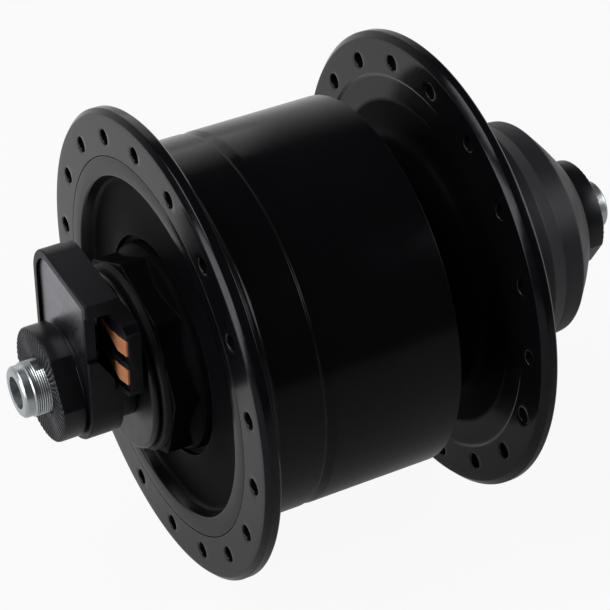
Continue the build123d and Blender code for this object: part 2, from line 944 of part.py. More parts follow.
os.makedirs("parts", exist_ok=True)
for name, solid in parts.items():
    export_step(solid, f"parts/{name}.step")
for name, solids in groups.items():
    export_step(Compound(children=list(solids)), f"parts/{name}.step")
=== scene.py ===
# %% [markdown]
# # A hub dynamo, dressed for the camera
#
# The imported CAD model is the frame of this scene. Each piece made here takes
# the place of a CAD piece and keeps its size and its seat. Lengths are typed
# in millimetres and become metres when a mesh is made.

# %% Load the frame
import json
from math import atan2, cos, hypot, pi, radians, sin

import bmesh
import bpy
import numpy as np
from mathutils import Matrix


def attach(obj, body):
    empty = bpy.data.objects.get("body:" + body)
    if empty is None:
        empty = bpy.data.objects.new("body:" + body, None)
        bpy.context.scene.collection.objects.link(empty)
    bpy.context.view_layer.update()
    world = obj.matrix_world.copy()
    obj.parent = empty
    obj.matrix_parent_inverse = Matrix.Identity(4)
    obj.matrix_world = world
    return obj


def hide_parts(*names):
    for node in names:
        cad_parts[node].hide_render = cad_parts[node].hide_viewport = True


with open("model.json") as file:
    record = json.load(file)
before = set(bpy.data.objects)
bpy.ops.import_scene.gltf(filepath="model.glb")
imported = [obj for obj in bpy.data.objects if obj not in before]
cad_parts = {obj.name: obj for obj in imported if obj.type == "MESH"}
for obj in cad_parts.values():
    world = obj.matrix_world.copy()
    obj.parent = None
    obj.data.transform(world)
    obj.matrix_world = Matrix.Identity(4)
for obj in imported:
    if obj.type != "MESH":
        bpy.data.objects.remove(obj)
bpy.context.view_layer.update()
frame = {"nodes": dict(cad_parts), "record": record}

MM = 0.001

# %% [markdown]
# ## Camera
#
# The camera comes first, so that every render can be held against the
# photograph. A long lens about 400 mm from the hub gives its slight
# foreshortening. The camera looks down at the connector end from the side.

# %% Camera at the photograph's angle
CAMERA_TARGET = (0.0, -5.8, 0.0)
CAMERA_AZIMUTH = 62.28
CAMERA_ELEVATION = 38.49
CAMERA_DISTANCE = 400.8
CAMERA_LENS = 144.5
CAMERA_SHIFT = (0.0270, -0.0017)
CAMERA_SENSOR = 36.0
CAMERA_CLIP = (0.01, 20.0)


def place_camera():
    """A camera on a sphere round the target: azimuth 0 looks along +Y."""
    turn, lift = radians(CAMERA_AZIMUTH), radians(CAMERA_ELEVATION)
    back = np.array([sin(turn) * cos(lift), -cos(turn) * cos(lift), sin(lift)])
    data = bpy.data.cameras.new("camera")
    data.lens = CAMERA_LENS
    data.sensor_width = CAMERA_SENSOR
    data.shift_x, data.shift_y = CAMERA_SHIFT
    data.clip_start, data.clip_end = CAMERA_CLIP
    camera = bpy.data.objects.new("camera", data)
    camera.location = (np.array(CAMERA_TARGET) + CAMERA_DISTANCE * back) * MM
    camera.rotation_euler = (pi / 2 - lift, 0.0, turn)
    bpy.context.scene.collection.objects.link(camera)
    bpy.context.scene.camera = camera
    return camera


print("camera at", [round(v, 4) for v in place_camera().location])

# %% [markdown]
# ## Surfaces from arrays
#
# Nearly every piece of a hub is turned on a lathe. A turned surface is a
# function of two parameters, the way along its profile and the angle round
# the axle, so a whole piece is one array of points. Real edges are never
# knife sharp, and it is their small rounds that catch the light, so a
# profile is rounded at its corners before it is turned.

# %% Rounded profiles
ROUND_STEPS = 5


def rounded(corners):
    """Profile with rounded corners, from rows of (radius, station, size).

    A corner C gets the curve (1-t)^2 A + 2t(1-t) C + t^2 B, where A and B lie
    the row's size back along its two sides, at most a half of each side.
    """
    table = np.array(corners, float)
    points, sizes = table[:, :2], table[:, 2]
    before, after = np.roll(points, 1, 0) - points, np.roll(points, -1, 0) - points
    back_length = np.linalg.norm(before, axis=1)
    ahead_length = np.linalg.norm(after, axis=1)
    back = before * (np.minimum(sizes, back_length / 2) / back_length)[:, None]
    ahead = after * (np.minimum(sizes, ahead_length / 2) / ahead_length)[:, None]
    t = np.linspace(0, 1, ROUND_STEPS)[None, :, None]
    a, c, b = (points + back)[:, None], points[:, None], (points + ahead)[:, None]
    curve = (1 - t) ** 2 * a + 2 * t * (1 - t) * c + t**2 * b
    sharp = sizes == 0
    rows = [points[i : i + 1] if sharp[i] else curve[i] for i in range(len(points))]
    return np.concatenate(rows)


def opened(corners):
    """A rounded profile that doesn't close, whose first and last corner stay sharp."""
    rows = [list(row) for row in corners]
    rows[0][2] = rows[-1][2] = 0
    return rounded(rows)


sample = rounded([(1, 0, 0), (2, 0, 0), (2, 1, 0.2), (1, 1, 0.2)])
print("points of a square with two rounded corners:", len(sample))

# %% [markdown]
# A turned surface repeats its profile at equal angles, so it is a grid: one
# row for each profile point and one column for each angle. Faces only need
# to be told how the grid is numbered, and whether it closes on itself.

# %% Turned grids
def polar_points(radius, station, angles):
    """Points (r cos a, station, r sin a) of a grid with one column for each angle."""
    x, z = radius * np.cos(angles), radius * np.sin(angles)
    return np.stack([x, np.broadcast_to(station, x.shape), z], -1)


def turned(profile, angles):
    """Grid of points (r cos a, station, r sin a), with a from +X towards +Z."""
    r, y = profile[:, 0][:, None], profile[:, 1][:, None]
    return polar_points(r, y, angles)


def full_turn(count, phase=0.0):
    """Equal angles round the whole circle, in radians."""
    return radians(phase) + np.arange(count) * 2 * pi / count


def grid_faces(rows, columns, close_rows=False, close_columns=True):
    """Index quads of a rows x columns grid whose points are numbered row by row."""
    i = np.arange(rows if close_rows else rows - 1)[:, None]
    j = np.arange(columns if close_columns else columns - 1)[None, :]
    i2, j2 = (i + 1) % rows, (j + 1) % columns
    quads = np.stack([i * columns + j, i * columns + j2, i2 * columns + j2, i2 * columns + j], -1)
    return quads.reshape(-1, 4)


print("faces of a closed ring of 4 rows and 8 columns:", len(grid_faces(4, 8, close_rows=True)))

# %% [markdown]
# A mesh is welded where its parts share points, its faces are turned
# outwards, and only edges sharper than a small angle stay crisp. Smooth
# shading does the rest, so that a turned face shows no facets.

# %% Closed meshes
WELD_DISTANCE = 1e-6
SMOOTH_ANGLE = 32.0
LATHE_COUNT = 192


def build(name, parts, smooth=SMOOTH_ANGLE):
    """One closed mesh from several (points, faces) parts, welded and smoothed."""
    points = np.concatenate([p.reshape(-1, 3) for p, _ in parts])
    counts = np.cumsum([0] + [p.reshape(-1, 3).shape[0] for p, _ in parts])
    faces = np.concatenate([f + n for (_, f), n in zip(parts, counts)])
    mesh = bpy.data.meshes.new(name)
    mesh.from_pydata((points * MM).tolist(), [], faces.tolist())
    piece = bpy.data.objects.new(name, mesh)
    bpy.context.scene.collection.objects.link(piece)
    finish_mesh(mesh, smooth)
    return piece


def finish_mesh(mesh, smooth):
    """Welds doubles, turns faces outwards and marks the edges that stay crisp."""
    work = bmesh.new()
    work.from_mesh(mesh)
    bmesh.ops.remove_doubles(work, verts=work.verts, dist=WELD_DISTANCE)
    bmesh.ops.dissolve_degenerate(work, edges=work.edges, dist=WELD_DISTANCE)
    bmesh.ops.recalc_face_normals(work, faces=work.faces)
    work.to_mesh(mesh)
    work.free()
    mesh.polygons.foreach_set("use_smooth", np.ones(len(mesh.polygons), bool))
    mesh.set_sharp_from_angle(angle=radians(smooth))
    mesh.update()


def lathe(name, corners):
    """A closed piece turned about the axle line from a closed profile."""
    profile = rounded(corners)
    grid = turned(profile, full_turn(LATHE_COUNT))
    return build(name, [(grid, grid_faces(len(profile), LATHE_COUNT, close_rows=True))])


def settle(piece, body, *nodes, slot=None):
    """The piece rides on a body and stands for its CAD nodes."""
    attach(piece, body)
    if nodes:
        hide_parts(*nodes)
    print(piece.name, "faces", len(piece.data.polygons))
    return piece


print("edges sharper than", SMOOTH_ANGLE, "degrees stay crisp")

# %% [markdown]
# ## Finishes
#
# The hub is mostly black anodised aluminium: a satin skin whose tone changes
# a little from place to place, with very fine grain. Each finish below has
# its own colour, roughness and bump from noise at the scale of the real
# surface. Numbers that are the same all over go straight into the shader.

# %% A small material builder
NOISE_ROUGHNESS = 0.55
NOISE_LOW, NOISE_HIGH = 0.3, 0.7
PATCH_SCALE = 700
SKY_TINT = (0.93, 0.92, 1.0)
BEVEL_SAMPLES = 4
EDGE_RANGE = (0.82, 0.985)


class Finish:
    """A small builder for one node material on the Principled shader."""

    def __init__(self, name, metallic=0.0, specular=0.5, tint=(1.0, 1.0, 1.0)):
        self.material = bpy.data.materials.new(name)
        self.material.use_nodes = True
        self.nodes = self.material.node_tree.nodes
        self.links = self.material.node_tree.links
        self.shader = self.nodes["Principled BSDF"]
        self.shader.inputs["Metallic"].default_value = metallic
        self.shader.inputs["Specular IOR Level"].default_value = specular
        self.shader.inputs["Specular Tint"].default_value = (*tint, 1.0)
        self.place = self.nodes.new("ShaderNodeTexCoord").outputs["Object"]

    def noise(self, scale, detail=3.0):
        """Noise whose grains are about one over scale metres across."""
        node = self.nodes.new("ShaderNodeTexNoise")
        node.inputs["Scale"].default_value = scale
        node.inputs["Detail"].default_value = detail
        node.inputs["Roughness"].default_value = NOISE_ROUGHNESS
        self.links.new(self.place, node.inputs["Vector"])
        return node.outputs["Fac"]

    def ramp(self, value, low, high):
        """Colour from low to high over the middle of the noise."""
        node = self.nodes.new("ShaderNodeValToRGB")
        node.color_ramp.elements[0].position = NOISE_LOW
        node.color_ramp.elements[1].position = NOISE_HIGH
        node.color_ramp.elements[0].color = (*low, 1.0)
        node.color_ramp.elements[1].color = (*high, 1.0)
        self.links.new(value, node.inputs["Fac"])
        return node.outputs["Color"]

    def span(self, value, low, high, start=NOISE_LOW, end=NOISE_HIGH):
        """A number from low to high as the value goes from start to end."""
        node = self.nodes.new("ShaderNodeMapRange")
        node.inputs["From Min"].default_value = start
        node.inputs["From Max"].default_value = end
        node.inputs["To Min"].default_value = low
        node.inputs["To Max"].default_value = high
        self.links.new(value, node.inputs["Value"])
        return node.outputs["Result"]

    def mix(self, factor, first, second):
        """First colour where the factor is 0, second where it is 1."""
        node = self.nodes.new("ShaderNodeMix")
        node.data_type = "RGBA"
        self.links.new(factor, node.inputs[0])
        self.links.new(first, node.inputs[6])
        self.links.new(second, node.inputs[7])
        return node.outputs[2]

    def math(self, operation, first, second):
        """One arithmetic step on two sockets."""
        node = self.nodes.new("ShaderNodeMath")
        node.operation = operation
        self.links.new(first, node.inputs[0])
        self.links.new(second, node.inputs[1])
        return node.outputs[0]

    def sharp_edge_mask(self, width):
        """Mask of the sharp edges, broken by noise.

        It is 1 where the normal of a rounded edge leaves the true normal, by
        the dot product of the two.
        """
        round_normal = self.nodes.new("ShaderNodeBevel")
        round_normal.samples = BEVEL_SAMPLES
        round_normal.inputs["Radius"].default_value = width
        true_normal = self.nodes.new("ShaderNodeNewGeometry").outputs["Normal"]
        turn = self.nodes.new("ShaderNodeVectorMath")
        turn.operation = "DOT_PRODUCT"
        self.links.new(round_normal.outputs["Normal"], turn.inputs[0])
        self.links.new(true_normal, turn.inputs[1])
        edge = self.span(turn.outputs["Value"], 1.0, 0.0, *EDGE_RANGE)
        patches = self.span(self.noise(PATCH_SCALE, detail=4), 0.15, 1.0, 0.35, 0.6)
        return self.math("MULTIPLY", edge, patches)

    def radius(self):
        """Distance from the axle line, from object coordinates: the length of (x, 0, z)."""
        flat = self.nodes.new("ShaderNodeVectorMath")
        flat.operation = "MULTIPLY"
        flat.inputs[1].default_value = (1.0, 0.0, 1.0)
        self.links.new(self.place, flat.inputs[0])
        length = self.nodes.new("ShaderNodeVectorMath")
        length.operation = "LENGTH"
        self.links.new(flat.outputs["Vector"], length.inputs[0])
        return length.outputs["Value"]

    def specular(self, value):
        """The strength of the shine."""
        self.links.new(value, self.shader.inputs["Specular IOR Level"])

    def colour(self, value):
        """The surface's own colour."""
        self.links.new(value, self.shader.inputs["Base Color"])

    def roughness(self, value):
        """How wide the shine is spread."""
        self.links.new(value, self.shader.inputs["Roughness"])

    def bump(self, height, strength, distance):
        """Relief of the given depth in metres."""
        node = self.nodes.new("ShaderNodeBump")
        node.inputs["Strength"].default_value = strength
        node.inputs["Distance"].default_value = distance
        self.links.new(height, node.inputs["Height"])
        self.links.new(node.outputs["Normal"], self.shader.inputs["Normal"])


print("an edge is worn where the normals' dot product is under", EDGE_RANGE[1])

# %% [markdown]
# Black anodising is a dyed, glassy skin on the aluminium. Its tone is cloudy
# over centimetres, it has a very fine grain, and where edges are handled the
# skin wears thin and a little metal shows through as a paler line. On the
# shell that paler line is made far stronger, as a painted highlight on its
# edges and spoke-hole rims.

# %% Anodised aluminium
EDGE_BAND = 0.00022
EDGE_COLOUR_SCALE = 900


def anodised_skin(name, low, high, specular, edge_wear_and_glint):
    """Colour and grain of dyed aluminium: cloudy tone, with sharp edges paler: wear, and on the
    shell mostly a painted highlight.
    """
    look = Finish(name, specular=specular, tint=SKY_TINT)
    base = look.ramp(look.noise(60, detail=2), low, high)
    edge_colour = look.ramp(look.noise(EDGE_COLOUR_SCALE), [edge_wear_and_glint * 0.6] * 3, [edge_wear_and_glint, edge_wear_and_glint, edge_wear_and_glint * 1.08])
    look.colour(look.mix(look.sharp_edge_mask(EDGE_BAND), base, edge_colour))
    look.bump(look.noise(9000, detail=2), 0.10, 0.00002)
    return look


def anodised(name, low, high, rough_low, rough_high, specular=0.25, edge_wear_and_glint=0.03):
    """Satin dyed aluminium, whose gloss changes slowly from place to place."""
    look = anodised_skin(name, low, high, specular, edge_wear_and_glint)
    look.roughness(look.span(look.noise(220, detail=4), rough_low, rough_high))
    return look


print("anodised edges wear over", EDGE_BAND, "m")

# %% [markdown]
# The turned faces of the shell shine, but the dish is cut rougher and its
# shine is turned nearly off as painted shade for the shade it lies in, so it
# reflects far less. The distance from the axle line tells the two apart, so one finish covers both.

# %% The shell's skin
SHELL_LOW = (0.0022, 0.0022, 0.0027)
SHELL_HIGH = (0.0036, 0.0036, 0.0043)
DISH_EDGE = (0.0277, 0.0285)
CAP_EDGE = (0.0318, 0.0320)
# The dish's very low shine is painted shade.
FACE_SHINE, DISH_SHINE, CAP_SHINE = 0.24, 0.02, 0.62
FACE_ROUGHNESS, DISH_ROUGHNESS = 0.165, 0.42


def shell_skin(name):
    """The shell's satin skin, which is duller inside the dish than on the turned faces, where its
    low shine is painted shade.

    The dull share goes from 1 to 0 over the step at the dish's rim, by the
    distance from the axle line, and the cap's rim shines a little less than
    the flange round it.
    """
    # The strong pale edge value here is mostly a painted highlight on the shell's edges and
    # spoke-hole rims.
    look = anodised_skin(name, SHELL_LOW, SHELL_HIGH, 0.25, edge_wear_and_glint=0.09)
    inside = look.span(look.radius(), 1.0, 0.0, *DISH_EDGE)
    grain = look.span(look.noise(900, detail=3), 0.92, 1.08)
    on_cap = look.span(look.radius(), CAP_SHINE, 1.0, *CAP_EDGE)
    shine = look.math("MULTIPLY", look.span(inside, FACE_SHINE, DISH_SHINE, 0.0, 1.0), on_cap)
    look.specular(look.math("MULTIPLY", shine, grain))
    rough = look.span(inside, FACE_ROUGHNESS, DISH_ROUGHNESS, 0.0, 1.0)
    look.roughness(look.math("MULTIPLY", rough, grain))
    return look


print("dish edge at", DISH_EDGE, "m, cap edge at", CAP_EDGE, "m")

# %% [markdown]
# Plated steel, ground bearing steel and copper are the same recipe: a metal
# colour with slow stains, a fine grain in gloss and relief, and edges that
# are polished brighter. Moulded plastic has a coarse spark-eroded grain.

# %% Bright metal and plastic
POLISHED_EDGE = 0.00018


def bright_metal(name, low, high, rough_low, rough_high, grain=1500, metallic=1.0, relief=0.15):
    """Bare or plated metal with a brushed or ground grain and polished edges."""
    look = Finish(name, metallic=metallic)
    base = look.ramp(look.noise(160, detail=4), low, high)
    edge_colour = look.ramp(look.noise(EDGE_COLOUR_SCALE), high, [min(1.0, v * 1.25) for v in high])
    look.colour(look.mix(look.sharp_edge_mask(POLISHED_EDGE), base, edge_colour))
    look.roughness(look.span(look.noise(grain, detail=3), rough_low, rough_high))
    look.bump(look.noise(grain, detail=3), relief, 0.00002)
    return look


def moulded(name, low, high, rough_low, rough_high, specular=0.35):
    """Injection-moulded plastic with a fine spark-eroded grain and rubbed corners."""
    look = Finish(name, specular=specular, tint=SKY_TINT)
    base = look.ramp(look.noise(90, detail=2), low, high)
    edge_colour = look.ramp(look.noise(EDGE_COLOUR_SCALE), high, [min(1.0, v * 1.6 + 0.012) for v in high])
    look.colour(look.mix(look.sharp_edge_mask(EDGE_BAND), base, edge_colour))
    look.roughness(look.span(look.noise(400, detail=3), rough_low, rough_high))
    look.bump(look.noise(6000, detail=3), 0.22, 0.00003)
    return look


print("polished edges are", POLISHED_EDGE, "m wide")

# %% [markdown]
# Each finish has two colours, dark and light, and two roughness values. The
# numbers are low because this hub is nearly black, and its shape is told
# by its highlights.

# %% The finishes of this hub
FINISHES = {
    "anodised_shell": shell_skin("anodised_shell"),
    "anodised_cover": anodised(
        "anodised_cover", (0.016, 0.016, 0.018), (0.023, 0.023, 0.0255), 0.40, 0.50, edge_wear_and_glint=0.05
    ),
    "black_steel": anodised(
        "black_steel",
        (0.0035, 0.0035, 0.004),
        (0.006, 0.006, 0.0068),
        0.28,
        0.40,
        specular=0.35,
        edge_wear_and_glint=0.05,
    ),
    "zinc_steel": bright_metal(
        "zinc_steel", (0.46, 0.49, 0.50), (0.64, 0.67, 0.69), 0.28, 0.42
    ),
    "bearing_steel": bright_metal(
        "bearing_steel", (0.42, 0.43, 0.45), (0.55, 0.56, 0.58), 0.22, 0.36
    ),
    "polished_steel": bright_metal(
        "polished_steel", (0.62, 0.63, 0.65), (0.72, 0.73, 0.75), 0.06, 0.12, grain=600
    ),
    "soft_iron": bright_metal(
        "soft_iron", (0.26, 0.26, 0.27), (0.38, 0.38, 0.39), 0.35, 0.55, grain=900
    ),
    "ferrite": moulded("ferrite", (0.030, 0.030, 0.033), (0.050, 0.050, 0.054), 0.55, 0.75),
    "copper": bright_metal(
        "copper", (0.62, 0.24, 0.11), (0.80, 0.36, 0.18), 0.42, 0.55, metallic=0.5, relief=0.05
    ),
    "enamelled_copper": bright_metal(
        "enamelled_copper", (0.40, 0.13, 0.04), (0.55, 0.20, 0.07), 0.20, 0.35
    ),
    "insulated_wire": moulded(
        "insulated_wire", (0.008, 0.008, 0.009), (0.014, 0.014, 0.015), 0.40, 0.55
    ),
    "black_plastic": moulded(
        "black_plastic", (0.003, 0.0028, 0.0038), (0.005, 0.0046, 0.0062), 0.32, 0.42, specular=0.2
    ),
    "natural_plastic": moulded(
        "natural_plastic", (0.55, 0.50, 0.40), (0.65, 0.60, 0.50), 0.40, 0.55
    ),
    "cage_plastic": moulded("cage_plastic", (0.42, 0.37, 0.26), (0.52, 0.46, 0.34), 0.40, 0.55),
    "grey_plate": bright_metal(
        "grey_plate", (0.19, 0.19, 0.21), (0.25, 0.25, 0.28), 0.26, 0.34, grain=1200, relief=0.02
    ),
    "rubber": moulded(
        "rubber", (0.006, 0.006, 0.006), (0.011, 0.011, 0.011), 0.55, 0.75, specular=0.25
    ),
}
SLOT_OF = {row["node"]: row["material_slot"] for row in frame["record"]["subparts"]}


def paint(piece, slot):
    """The piece's only material is the finish of a slot."""
    piece.data.materials.clear()
    piece.data.materials.append(FINISHES[slot].material)


for node_name, node in frame["nodes"].items():
    paint(node, SLOT_OF[node_name])
print("finishes:", len(FINISHES), "painted nodes:", len(frame["nodes"]))


def dress(piece, body, node_name):
    """Settles a piece in place of one CAD node, with that node's finish."""
    paint(piece, SLOT_OF[node_name])
    return settle(piece, body, node_name, slot=SLOT_OF[node_name])


# %% [markdown]
# ## Hub shell
#
# The shell is one aluminium turning with two drilled flanges. Its plain
# stretches are turned grids. Round each spoke hole the surface is a fan of
# rings that starts on a box of the polar grid and closes onto the hole, goes
# down the countersink and the bore, and opens again on the far side. All the
# holes of a flange are one array.

# %% Shell sizes
SPOKES = 18
SPOKE_RING_R = 35.0
SPOKE_HOLE_R = 1.3
COUNTERSINK = 0.25
SPOKE_PHASE = 17.3
SECTOR_STEPS = 16
BAND_STEPS = 6
BAND_INNER_R = 32.7
BAND_OUTER_R = 37.4
LEFT_FACE, LEFT_BACK = -30.1, -27.5
RIGHT_FACE, RIGHT_BACK = 18.5, 21.1
FLANGE_R = 39.5
BARREL_R = 31.6
BARREL_END = 8.2
NECK_R = 21.7
NOSE_R = 14.8
NOSE_END = 33.7
CAP_SEAT_R = 31.95
CAP_SEAT_END = -28.1
BARREL_BORE_R = 29.6
BARREL_BORE_END = 6.0
NECK_BORE_R = 19.2
CUP_SEAT_R = 13.4
CUP_SEAT_END = 27.06
WIRE_SPACE_R = 10.4
RIM_R = 39.1
print("flange", 2 * FLANGE_R, "mm, barrel", 2 * BARREL_R, "mm, holes", 2 * SPOKES)

# %% [markdown]
# Round a hole, the ring of points on the box becomes the ring on the hole
# in even steps along straight rays from the hole's centre. That keeps every
# face a clean quad.

# %% Drilled bands
FACE_SHARES = np.linspace(1, 0, 6)
LIP_TURNS = np.linspace(0, pi / 2, 4)[1:]


def box_path(count_arc, count_side):
    """Unit square path: shares along the arc and across the band, round its four sides."""
    arc = np.arange(count_arc) / count_arc
    side = np.arange(count_side) / count_side
    one, zero = np.ones, np.zeros
    across = np.concatenate([zero(count_arc), side, one(count_arc), 1 - side])
    along = np.concatenate([arc, one(count_side), 1 - arc, zero(count_side)])
    return along, across


def drilled_band(front, back, phase):
    """Both faces of a flange's spoke band, with its holes.

    front and back give the station of each face at a radius. A ring point is
    the hole's centre plus its direction times a distance that goes from the
    box round the hole to the hole's own radius.
    """
    along, across = box_path(SECTOR_STEPS, BAND_STEPS)
    pitch = 2 * pi / SPOKES
    centre_angle = radians(phase) + np.arange(SPOKES) * pitch
    centre = SPOKE_RING_R * np.stack([np.cos(centre_angle), np.sin(centre_angle)], -1)
    angle = centre_angle[:, None] + (along[None, :] - 0.5) * pitch
    radius = BAND_INNER_R + (BAND_OUTER_R - BAND_INNER_R) * across[None, :]
    edge = np.stack([radius * np.cos(angle), radius * np.sin(angle)], -1)
    offset = edge - centre[:, None]
    reach = np.linalg.norm(offset, axis=-1, keepdims=True)
    direction = offset / reach
    wide = SPOKE_HOLE_R + COUNTERSINK

    face_rings = [wide + share * (reach - wide) for share in FACE_SHARES]
    lip_rings = [wide - COUNTERSINK * np.sin(turn) + 0 * reach for turn in LIP_TURNS]
    lip_depths = [0] * len(FACE_SHARES) + list(COUNTERSINK * (1 - np.cos(LIP_TURNS)))
    distances = np.stack(face_rings + lip_rings, 1)
    depths = np.array(lip_depths)[None, :, None, None]
    flat = centre[:, None, None] + direction[:, None] * distances
    ring_radius = np.linalg.norm(flat, axis=-1, keepdims=True)
    inward = np.sign(back(SPOKE_RING_R) - front(SPOKE_RING_R))
    near = np.concatenate([flat[..., :1], front(ring_radius) + inward * depths, flat[..., 1:]], -1)
    far = np.concatenate([flat[..., :1], back(ring_radius) - inward * depths, flat[..., 1:]], -1)
    rings = np.concatenate([near, far[:, ::-1]], 1)
    count_rings, count_round = rings.shape[1], rings.shape[2]
    faces = grid_faces(count_rings, count_round)
    starts = np.arange(SPOKES) * count_rings * count_round
    return rings, (faces[None] + starts[:, None, None]).reshape(-1, 4)


def station_at(profile):
    """Station along a profile as a function of radius."""
    order = np.argsort(profile[:, 0])
    r, y = profile[order, 0], profile[order, 1]
    return lambda radius: np.interp(radius, r, y)


def flat_at(station):
    """The same station at every radius, for a flat face."""
    return lambda radius: station + 0 * radius


print("points round one hole:", len(box_path(SECTOR_STEPS, BAND_STEPS)[0]))

# %% [markdown]
# The plain stretches are rows of (radius, station, round). The barrel has
# one shallow groove near the left flange, steep on its left side, and a neck
# behind it where the right flange begins.

# %% Shell profile
LEFT_RIM = [(CAP_SEAT_R, LEFT_FACE, 0.0), (BAND_INNER_R, LEFT_FACE, 0.0)]
LEFT_EDGE = [
    (BAND_OUTER_R, LEFT_FACE, 0.0),
    (38.7, LEFT_FACE, 0.15),
    (FLANGE_R, LEFT_FACE + 0.8, 0.15),
    (FLANGE_R, LEFT_BACK - 0.4, 0.12),
    (RIM_R, LEFT_BACK, 0.12),
    (BAND_OUTER_R, LEFT_BACK, 0.0),
]
LEFT_ROOT = LEFT_BACK + 3.2
LEFT_BACK_PROFILE = opened([(38.0, LEFT_BACK, 0), (36.0, LEFT_BACK, 0.5), (BARREL_R, LEFT_ROOT, 0)])
left_back_station = station_at(LEFT_BACK_PROFILE)
BARREL = [
    (BAND_INNER_R, float(left_back_station(BAND_INNER_R)), 0.0),
    (BARREL_R, LEFT_ROOT, 0.7),
    (BARREL_R, -16.0, 0.08),
    (BARREL_R - 0.34, -15.5, 0.1),
    (BARREL_R, -13.9, 0.16),
    (BARREL_R, BARREL_END, 0.12),
    (NECK_R, BARREL_END, 0.9),
    (NECK_R, RIGHT_FACE + 0.4, 2.3),
    (32.15, RIGHT_FACE + 0.4, 0.2),
    (32.55, RIGHT_FACE, 0.2),
    (BAND_INNER_R, RIGHT_FACE, 0.0),
]
RIGHT_EDGE = [
    (BAND_OUTER_R, RIGHT_FACE, 0.0),
    (38.5, RIGHT_FACE, 0.15),
    (FLANGE_R, RIGHT_FACE + 1.0, 0.15),
    (FLANGE_R, RIGHT_BACK - 0.4, 0.12),
    (RIM_R, RIGHT_BACK, 0.12),
    (BAND_OUTER_R, RIGHT_BACK, 0.0),
]
NOSE = [
    (BAND_INNER_R, RIGHT_BACK, 0.0),
    (20.0, RIGHT_BACK, 1.2),
    (NOSE_R, RIGHT_BACK + 2.0, 1.0),
    (NOSE_R, NOSE_END, 0.3),
    (CUP_SEAT_R, NOSE_END, 0.1),
    (CUP_SEAT_R, CUP_SEAT_END, 0.0),
    (WIRE_SPACE_R, CUP_SEAT_END, 0.0),
    (WIRE_SPACE_R, RIGHT_FACE, 0.0),
    (NECK_BORE_R, RIGHT_FACE, 0.0),
    (NECK_BORE_R, BARREL_BORE_END, 0.0),
    (BARREL_BORE_R, BARREL_BORE_END, 0.0),
    (BARREL_BORE_R, CAP_SEAT_END, 0.0),
    (CAP_SEAT_R, CAP_SEAT_END, 0.0),
    (CAP_SEAT_R, LEFT_FACE, 0.0),
]


def hub_shell_piece():
    """The shell: five turned strips and two drilled bands, welded along their shared rings."""
    count = SPOKES * SECTOR_STEPS
    half_pitch = 180 / SPOKES
    angles = full_turn(count, SPOKE_PHASE + half_pitch)
    parts = []
    for strip in (LEFT_RIM, LEFT_EDGE, BARREL, RIGHT_EDGE, NOSE):
        profile = opened(strip)
        grid = turned(profile, angles)
        parts.append((grid, grid_faces(len(profile), count)))
    parts.append(drilled_band(flat_at(LEFT_FACE), left_back_station, SPOKE_PHASE))
    right_phase = SPOKE_PHASE - half_pitch
    parts.append(drilled_band(flat_at(RIGHT_FACE), flat_at(RIGHT_BACK), right_phase))
    return build("hub_shell_turned", parts)


dress(hub_shell_piece(), "wheel_unit", "hub_shell")

# %% [markdown]
# ## End cap
#
# The cap closes the barrel. Its dish is turned, and in its middle stands a
# boss with eight flats for a spanner. The flats run down into a flared foot:
# where an octagon and a cone share one axis, the surface lies on whichever
# is further out, so the boss is a grid of max(octagon, flare).

# %% Cap sizes and surface
BOSS_FLAT_R = 15.6
BOSS_PHASE = -15.0
BOSS_FRONT = -34.4
BOSS_FOOT = -28.8
FOOT_R = 17.4
BOSS_CORNER_R = 16.82
FLARE_START_R = 15.2
FLARE = np.array(
    [
        (15.0, -32.0),
        (15.55, -31.05),
        (16.15, -30.4),
        (16.9, -29.85),
        (17.25, -29.4),
        (FOOT_R, BOSS_FOOT),
    ]
)
CAP_COUNT = 8 * 48
DISH = opened(
    [
        (FOOT_R, BOSS_FOOT, 0.0),
        (17.45, BOSS_FOOT + 1.1, 0.2),
        (18.45, BOSS_FOOT + 1.1, 0.2),
        (18.45, BOSS_FOOT, 0.12),
        (21.2, -28.1, 2.2),
        (24.0, -27.72, 2.2),
        (28.0, -27.7, 0.8),
        (28.6, LEFT_FACE, 0.3),
        (31.82, LEFT_FACE, 0.12),
        (31.82, -28.15, 0.0),
        (29.55, -28.15, 0.0),
        (29.55, -23.6, 0.0),
        (27.65, -23.6, 0.0),
        (27.65, -25.6, 0.0),
        (WIRE_SPACE_R, -25.6, 0.0),
        (WIRE_SPACE_R, -27.76, 0.0),
        (CUP_SEAT_R, -27.76, 0.0),
        (CUP_SEAT_R, BOSS_FRONT, 0.0),
    ]
)


def octagon_radius(angle):
    """Distance from the axis to the side of an octagon: flat / cos(angle off the flat)."""
    off = (angle - radians(BOSS_PHASE) + pi / 8) % (pi / 4) - pi / 8
    return BOSS_FLAT_R / np.cos(off)


def soft_max(a, b, width):
    """Larger of two lengths, with a small fillet where they cross."""
    return 0.5 * (a + b + np.sqrt((a - b) ** 2 + width**2))


def end_cap_piece():
    """Cap: octagon boss rows first, then the turned dish, rim and skirt."""
    angles = full_turn(CAP_COUNT, BOSS_PHASE)
    stations = np.concatenate(
        [[BOSS_FRONT, BOSS_FRONT + 0.06, BOSS_FRONT + 0.2], np.linspace(-34.0, BOSS_FOOT, 36)]
    )
    flare = np.interp(stations, FLARE[:, 1], FLARE[:, 0])[:, None]
    octagon = np.minimum(octagon_radius(angles), BOSS_CORNER_R)[None, :]
    radius = np.where(flare > FLARE_START_R, soft_max(octagon, flare, 0.12), octagon)
    radius[0] -= 0.25
    radius[1] -= 0.08
    boss = polar_points(radius, stations[:, None], angles)
    rows = turned(DISH, angles)
    rows[0] = boss[-1]
    grid = np.concatenate([boss, rows[1:]])
    faces = grid_faces(len(grid), CAP_COUNT, close_rows=True)
    return build("end_cap_dished", [(grid, faces)], smooth=22)


dress(end_cap_piece(), "wheel_unit", "end_cap")

# %% [markdown]
# ## Rings in front of the boss
#
# A rubber seal turns with the cap, and a black pressed disc, a spacer and a
# washer stand still in front of it. All are turned rings with small rounds,
# from rows of (radius, station, round).

